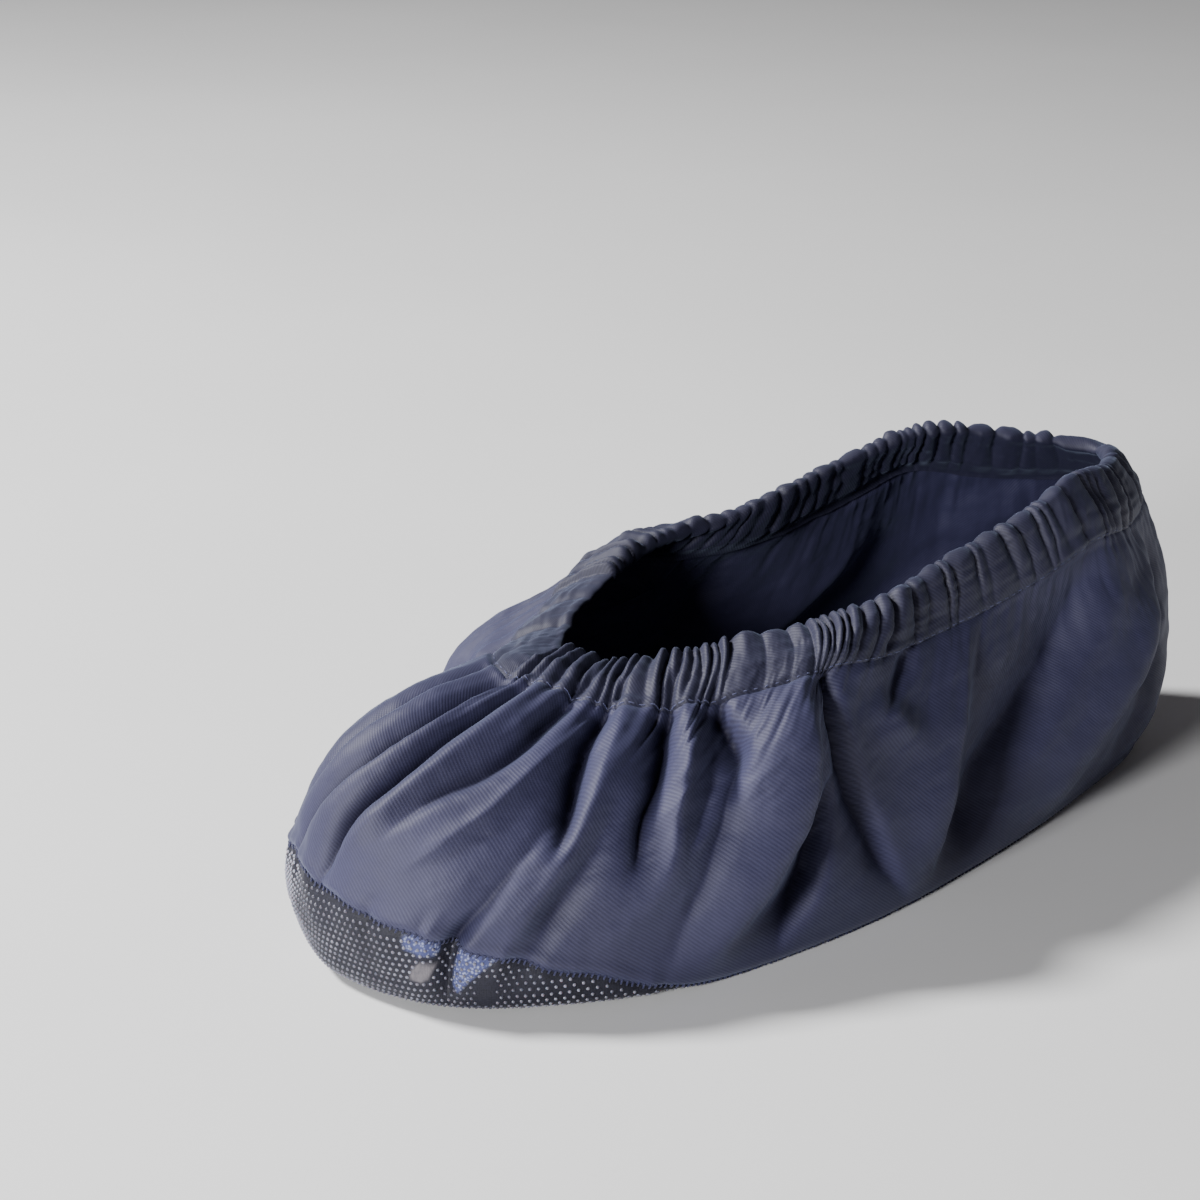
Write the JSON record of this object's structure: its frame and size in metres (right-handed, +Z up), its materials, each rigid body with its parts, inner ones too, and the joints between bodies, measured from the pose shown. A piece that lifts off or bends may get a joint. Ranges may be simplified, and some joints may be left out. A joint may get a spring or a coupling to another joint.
{
  "type": "cloth overshoe",
  "caption": "Gathered cloth overshoe for a boot: pleated twill upper, elastic casing round the mouth and a dotted grip-cloth sole drawn up over the toe.",
  "frame": {"origin": "on the ground under the middle of the overshoe's box", "axes": "+X towards the outer side of a left foot, +Y from the toe to the heel, +Z up out of the mouth"},
  "size_m": [0.141, 0.3178, 0.104],
  "materials": {
    "twill": "satin navy twill",
    "elastic": "knitted white elastic",
    "grip_cloth": "navy cloth with clear grip dots"
  },
  "bodies": {
    "root": {"upper": "twill", "casing": "twill", "elastic": "elastic", "sole": "grip_cloth"}
  },
  "joints": []
}
